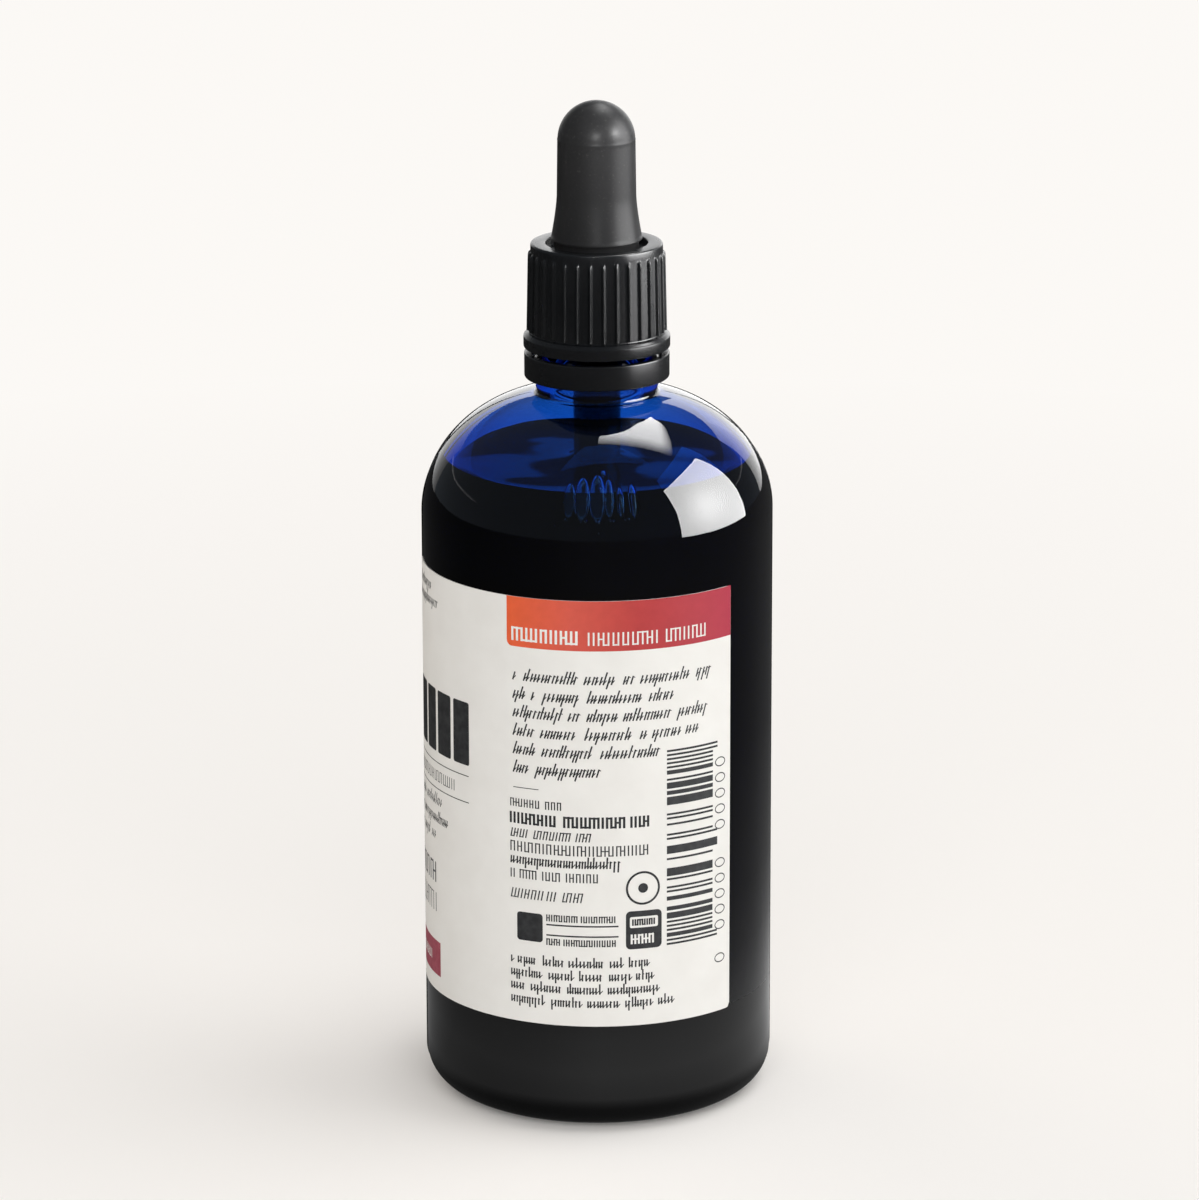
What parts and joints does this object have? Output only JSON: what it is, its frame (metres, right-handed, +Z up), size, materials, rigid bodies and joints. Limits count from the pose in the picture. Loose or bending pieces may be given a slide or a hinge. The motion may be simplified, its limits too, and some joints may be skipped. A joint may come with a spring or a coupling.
{
  "type": "bitters bottle",
  "caption": "Round cobalt glass bottle of dark bitters with a wrapped paper label and a screw-on dropper: ribbed black cap, tamper band, rubber bulb and glass pipette.",
  "frame": {"origin": "middle of the foot, on the surface that the bottle stands on", "axes": "+Z up along the bottle's axis; -Y towards the label's printed back panel, the pictured side; the bare strip between the label's ends faces +X"},
  "size_m": [0.0522, 0.0524, 0.1508],
  "materials": {
    "cobalt_glass": "clear cobalt blue glass, glossy",
    "bitters": "dark liquid",
    "label_paper": "matte uncoated paper with an orange to magenta colour band and grey and black print",
    "closure_plastic": "black moulded polypropylene, satin",
    "bulb_rubber": "black rubber, matte",
    "clear_glass": "clear glass tube, glossy"
  },
  "bodies": {
    "bottle_body": {"bottle": "cobalt_glass", "bitters_fill": "bitters", "label": "label_paper"},
    "band": {"tamper_band": "closure_plastic"},
    "dropper": {"bulb": "bulb_rubber", "pipette": "clear_glass", "pipette_fill": "bitters"},
    "cap": {"screw_cap": "closure_plastic"}
  },
  "joints": [
    {"name": "dropper_lift", "type": "slide", "parent": "bottle_body", "child": "dropper", "axis": [0, 0, 1], "range_m": [0, 0.12]},
    {"name": "cap_turn", "type": "hinge", "parent": "dropper", "child": "cap", "pos_m": [0, 0, 0.1208], "axis": [0, 0, 1], "range_deg": [0, 14400]},
    {"name": "band_turn", "type": "hinge", "parent": "bottle_body", "child": "band", "pos_m": [0, 0, 0.1119], "axis": [0, 0, 1], "continuous": true}
  ],
  "couplings": [
    {"joint": "cap_turn", "follows": "dropper_lift", "rad_per_m": 2094.4}
  ]
}
